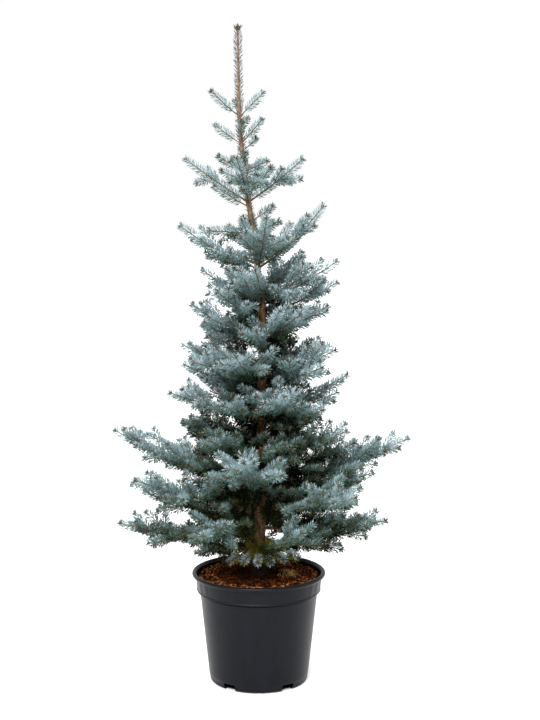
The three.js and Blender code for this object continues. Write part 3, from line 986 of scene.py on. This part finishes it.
class Foliage:
    """Gathers the needles of every tint until they are made into pieces."""

    def __init__(self):
        self.rng = np.random.default_rng(SEED + 2)
        self.rows = {tint: [] for tint in TINTS}

    def cover(
        self, points, radius, tints, density=None, length=None, lean=60, lift=0.1, first=4.0, width=2.0
    ):
        """Needles round a row of points. tints is one tint's name, or where on the ladder of tints
        the tip stands and how much further down the inner end stands."""
        if length is None:
            length = float(np.interp(points[-1, 2], [1000, 1250], [17, 15]))
        if density is None:
            density = float(np.interp(points[-1, 2], [1000, 1150], [2.2, 2.1]))
        steps = np.linalg.norm(np.diff(points, axis=0), axis=1)
        run = np.concatenate([[0], np.cumsum(steps)])
        total = run[-1]
        count = int((total - first) * density)
        if count < 3:
            return
        rng = self.rng
        at = first + (np.arange(count) + rng.random(count)) * (total - first) / count
        base = np.stack([np.interp(at, run, points[:, k]) for k in range(3)], 1)
        tangents = np.gradient(points, axis=0)
        along = unit(np.stack([np.interp(at, run, tangents[:, k]) for k in range(3)], 1))
        side, over = axes_across(along)
        turn = (np.arange(count) * 2.39996 + rng.normal(0, 0.25, count))[:, None]
        out = side * np.cos(turn) + over * np.sin(turn)
        end = np.clip((at - (total - 22)) / 22, 0, 1)
        angle = np.radians(lean * (1 - 0.34 * end) + rng.normal(0, 5, count))[:, None]
        way = unit(along * np.cos(angle) + out * np.sin(angle) + UP * lift)
        size = length * (1 - 0.16 * end) * (1 + rng.normal(0, 0.05, count))
        size *= 0.72 + 0.28 * np.clip((at - first) / 12, 0, 1)
        wide = width * (1 + rng.normal(0, 0.08, count))
        row = np.column_stack([base + out * radius * 0.6, way, wide, size])
        pick = np.asarray(tints)
        if pick.ndim == 0:
            self.rows[str(tints)].append(row)
            return
        # painted shade and light: needles towards a shoot's inner end and needles that point down go
        # further down the ladder, needles that point up go up it
        step = pick[0] + lerp(pick[1], 0, at / total) - 0.9 * way[:, 2] + rng.normal(0, 0.35, count)
        step = np.clip(np.round(step), 0, len(LADDER) - 1).astype(int)
        share = mossiness(base)
        mossy = (step >= np.where(share > 0.6, 1, 2)) & (rng.random(count) < share)
        dark = ~mossy & (at > total - 5) & (rng.random(count) < 0.2)
        # painted shade: olive needles further down the ladder take the darker olive tint
        self.rows["olive"].append(row[mossy & (step <= 2)])
        self.rows["olive_shade"].append(row[mossy & (step > 2)])
        self.rows["tip"].append(row[dark])
        for k, tint in enumerate(LADDER):
            self.rows[tint].append(row[(step == k) & ~mossy & ~dark])

    def build(self, nodes):
        first = True
        for tint, (colour, specular, sheen) in TINTS.items():
            rows = np.concatenate(self.rows[tint])
            material = needle_material(f"needles_{tint}", colour, specular, sheen)
            parts = math.ceil(len(rows) / NEEDLES_A_PIECE)
            for part, chunk in enumerate(np.array_split(rows, parts)):
                size = np.column_stack([chunk[:, 6], chunk[:, 6] * 0.9, chunk[:, 7]])
                roll = self.rng.uniform(0, 2 * math.pi, len(chunk))
                verts, faces = scatter(NEEDLE, chunk[:, :3], chunk[:, 3:6], roll, size)
                piece = mesh_object(f"needles_{tint}_{part + 1}", verts, faces)
                dress(piece, material, "needles", *(nodes if first else ()))
                first = False


def envelope(tree):
    """The crown's reach from the trunk at each height, as a function."""
    tips = np.concatenate(
        [[bough.point(1.0) for bough in tree.boughs], [shoot.points[-1] for shoot in tree.shoots]]
    )
    centre = trunk_centre(tips[:, 2])
    reach = np.linalg.norm((tips - centre)[:, :2], axis=1)
    levels = np.arange(240, 1540, 40.0)
    most = np.array([reach[np.abs(tips[:, 2] - z) < 50].max(initial=30) for z in levels])
    return lambda z: np.interp(z, levels, most)


def tint_step(point, reach_at):
    """How far down the ladder of tints a shoot starts, by how deep and how low in the crown it ends."""
    centre = trunk_centre(point[2])
    share = np.linalg.norm((point - centre)[:2]) / reach_at(point[2])
    levels = [300, 400, 480, 700, 900, 1050, 1300]
    low = np.interp(point[2], levels, [2.2, 1.6, 1.05, 0.35, 0.4, 0.95, 1.1])
    # painted shade: a shoot that ends deep in the crown, near the trunk, starts further down the ladder;
    # less so high up
    deep = np.interp(share, [0.15, 0.4, 0.62, 0.85, 1.0], [3.8, 2.4, 1.1, 0.5, 0.25])
    return float(deep * np.interp(point[2], [800, 1000, 1200], [1.0, 0.5, 0.3]) + low)


def mossiness(points):
    """How olive the inner needles are: most of all round the trunk's foot."""
    away = np.linalg.norm((points - trunk_centre(points[:, 2]))[:, :2], axis=1)
    return 0.95 * smoothstep(-points[:, 2], -520, -345) * smoothstep(-away, -190, -60)


def dress_crown():
    tree = Tree()
    reach_at = envelope(tree)
    foliage = Foliage()
    rng = np.random.default_rng(SEED + 3)
    boughs, young, old = Heap(), Heap(), Heap()
    bud_rows, side_rows = [], []

    def add_buds(tip, along, scale):
        bud_rows.append([*tip, *along, 3.2 * scale, 3.2 * scale, 6.0 * scale])
        side, over = axes_across(along[None])
        for k in range(3):
            turn = 2.1 * k + rng.uniform(0, 2)
            out = side[0] * math.cos(turn) + over[0] * math.sin(turn)
            way = unit(along * 0.8 + out * 0.6)
            side_rows.append([*(tip - along * 1.5), *way, 2.2 * scale, 2.2 * scale, 4.2 * scale])
        count = 12
        turn = np.arange(count) * 2.4 + rng.uniform(0, 6)
        out = side * np.cos(turn)[:, None] + over * np.sin(turn)[:, None]
        way = unit(along * 0.8 + out * rng.uniform(0.4, 1.3, (count, 1)))
        base = tip - along * rng.uniform(-1.5, 5, (count, 1))
        length = rng.uniform(8, 12, count) * scale
        foliage.rows["tip"].append(np.column_stack([base, way, np.full(count, 1.8), length]))

    for bough in tree.boughs:
        t = np.linspace(0, 1, max(6, math.ceil(bough.length / 14)))
        points = bough.point(t)
        radii = lerp(0.0165 * bough.length, 1.3, t ** 0.5)
        split = max(2, int(len(t) * 0.55))
        boughs.add(*tube(points[: split + 1], radii[: split + 1], 9))
        young.add(*tube(points[split:], radii[split:], 6))
        tip, (along, _) = points[-1], bough.axes(1.0)
        step = tint_step(tip, reach_at)
        bare = trunk_radius(bough.root[2], 0) + 14
        # painted shade: a bough's needles go further down the ladder towards the trunk, less so high in
        # the crown
        inner = float(np.interp(bough.height, [800, 1000], [2.6, 1.4]))
        foliage.cover(points, 2.0, (step, inner), first=bare)
        add_buds(tip, along, 1.15)

    for shoot in tree.shoots:
        radii = np.linspace(0.9 + 0.006 * shoot.length, 0.7, len(shoot.points))
        tip, along = shoot.points[-1], unit(shoot.points[-1] - shoot.points[-2])
        # painted shade: inner shoots start a further step down the ladder of tints
        step = tint_step(tip, reach_at) + (0.4 if shoot.kind == INNER else 0)
        fresh = step < 2.6 and shoot.kind < INNER
        (young if fresh else old).add(*tube(shoot.points, radii, 5 if shoot.kind < INNER else 3))
        if shoot.kind == OLIVE:
            foliage.cover(shoot.points, 1.0, "olive", density=1.6, length=14, first=14)
        elif shoot.kind == PALE:
            foliage.cover(shoot.points[:-1], 1.2, "olive", density=1.0, length=13, first=16)
            tuft = np.array([shoot.at(s) for s in np.linspace(0.7, 1, 5)])
            foliage.cover(tuft, 1.2, (-0.2, 1), 3.6, length=16, lean=70, lift=0, first=1, width=1.6)
        else:
            foliage.cover(shoot.points, 1.2, (step, 1.3))
        if shoot.kind < INNER:
            add_buds(tip, along, 1.0 if shoot.kind < FORK else 0.8)

    leader = trunk_centre(np.linspace(LEADER_FOOT - 20, 1487, 16))
    foliage.cover(leader, 3.2, "grey", density=1.9, length=14.5, lean=44, lift=0, first=2, width=1.7)
    top = leader[-1]
    bud_rows.append([*top, 0, 0, 1, 5.6, 5.6, 12.6])
    for k in range(5):
        turn = 1.257 * k + 0.4
        side_rows.append([*(top - UP * 2), *unit(facing(turn, 1.3)), 4.2, 4.2, 8.5])
    turn = np.arange(20) * 2.4
    way = unit(np.column_stack([np.cos(turn), np.sin(turn), rng.uniform(0.35, 1.5, 20)]))
    base = top - UP * rng.uniform(1, 9, (20, 1))
    foliage.rows["tip"].append(np.column_stack([base, way, np.full(20, 2.4), rng.uniform(13, 17, 20)]))
    for foot, head, density in ((1000, 1160, 0.7), (1160, LEADER_FOOT - 20, 1.7)):
        upper = trunk_centre(np.linspace(foot, head, 20))
        foliage.cover(upper, 4.0, "grey", density=density, length=14, lean=48, lift=0, first=2)

    bark = twig_material("bough_bark", srgb(48, 38, 20), srgb(98, 80, 48))
    names = [f"bough_tier4_{i + 1}" for i in range(4)]
    dress(mesh_object("boughs", *boughs.arrays(), smooth=True), bark, "bough_bark", *names)
    fresh = twig_material("young_bark", srgb(66, 54, 32), srgb(110, 93, 60))
    dress(mesh_object("twigs_young", *young.arrays(), smooth=True), fresh, "bough_bark")
    aged = twig_material("old_bark", srgb(34, 27, 12), srgb(74, 60, 30))
    dress(mesh_object("twigs_old", *old.arrays(), smooth=True), aged, "bough_bark")

    bud_bark = twig_material("bud_scales", srgb(58, 46, 30), srgb(108, 86, 60))
    for name, template, rows in (("buds", BUD, bud_rows), ("side_buds", SIDE_BUD, side_rows)):
        rows = np.array(rows)
        roll = np.zeros(len(rows))
        verts, faces = scatter(template, rows[:, :3], unit(rows[:, 3:6]), roll, rows[:, 6:9])
        dress(mesh_object(name, verts, faces, smooth=True), bud_bark, "bough_bark")

    foliage.build([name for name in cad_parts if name.startswith("foliage") or name == "leader"])


# ---------------------------------------------------------------- studio
def make_studio():
    half = 30000.0
    corners = np.array([(-half, -half, 0), (half, -half, 0), (half, half, 0), (-half, half, 0)])
    floor = mesh_object("floor", corners, np.array([[0, 1, 2, 3]]))
    material, _, shader, _ = new_material("floor_paper", 0.9, 0.1)
    shader.inputs["Base Color"].default_value = (0.7, 0.7, 0.7, 1)
    floor.data.materials.append(material)

    world = bpy.data.worlds.new("studio")
    world.use_nodes = True
    tree = world.node_tree
    look = add_node(tree, "TexCoord").outputs["Generated"]
    up = add_node(tree, "SeparateXYZ", vector=look).outputs["Z"]
    dome = add_node(tree, "MapRange", value=up, from_min=0.2, from_max=0.9, to_min=1.02, to_max=2.7)
    dome.interpolation_type = "SMOOTHSTEP"
    background = tree.nodes["Background"].inputs
    tree.links.new(dome.outputs["Result"], background["Strength"])
    background["Color"].default_value = (1, 1, 1, 1)
    bpy.context.scene.world = world

    key = bpy.data.lights.new("key", "SUN")
    key.energy = 4.5
    key.angle = math.radians(34)
    sun = bpy.data.objects.new("key", key)
    sun.rotation_euler = (math.radians(48), 0, math.radians(-13))
    bpy.context.scene.collection.objects.link(sun)

    view = bpy.context.scene.view_settings
    view.view_transform = "Standard"
    view.look = "None"
    view.exposure = 0.0

    lens = bpy.data.cameras.new("camera")
    lens.sensor_fit = "VERTICAL"
    lens.sensor_width = 36
    lens.sensor_height = 36
    lens.lens = FOCAL_LENGTH
    lens.clip_end = 200
    camera = bpy.data.objects.new("camera", lens)
    camera.location = EYE * MM
    camera.rotation_euler = (math.radians(90 - LOOKS_DOWN), 0, 0)
    bpy.context.scene.collection.objects.link(camera)
    bpy.context.scene.camera = camera


make_studio()
make_pot()
make_soil()
make_rim_smear()
make_mix_litter()
make_trunk()
dress_crown()
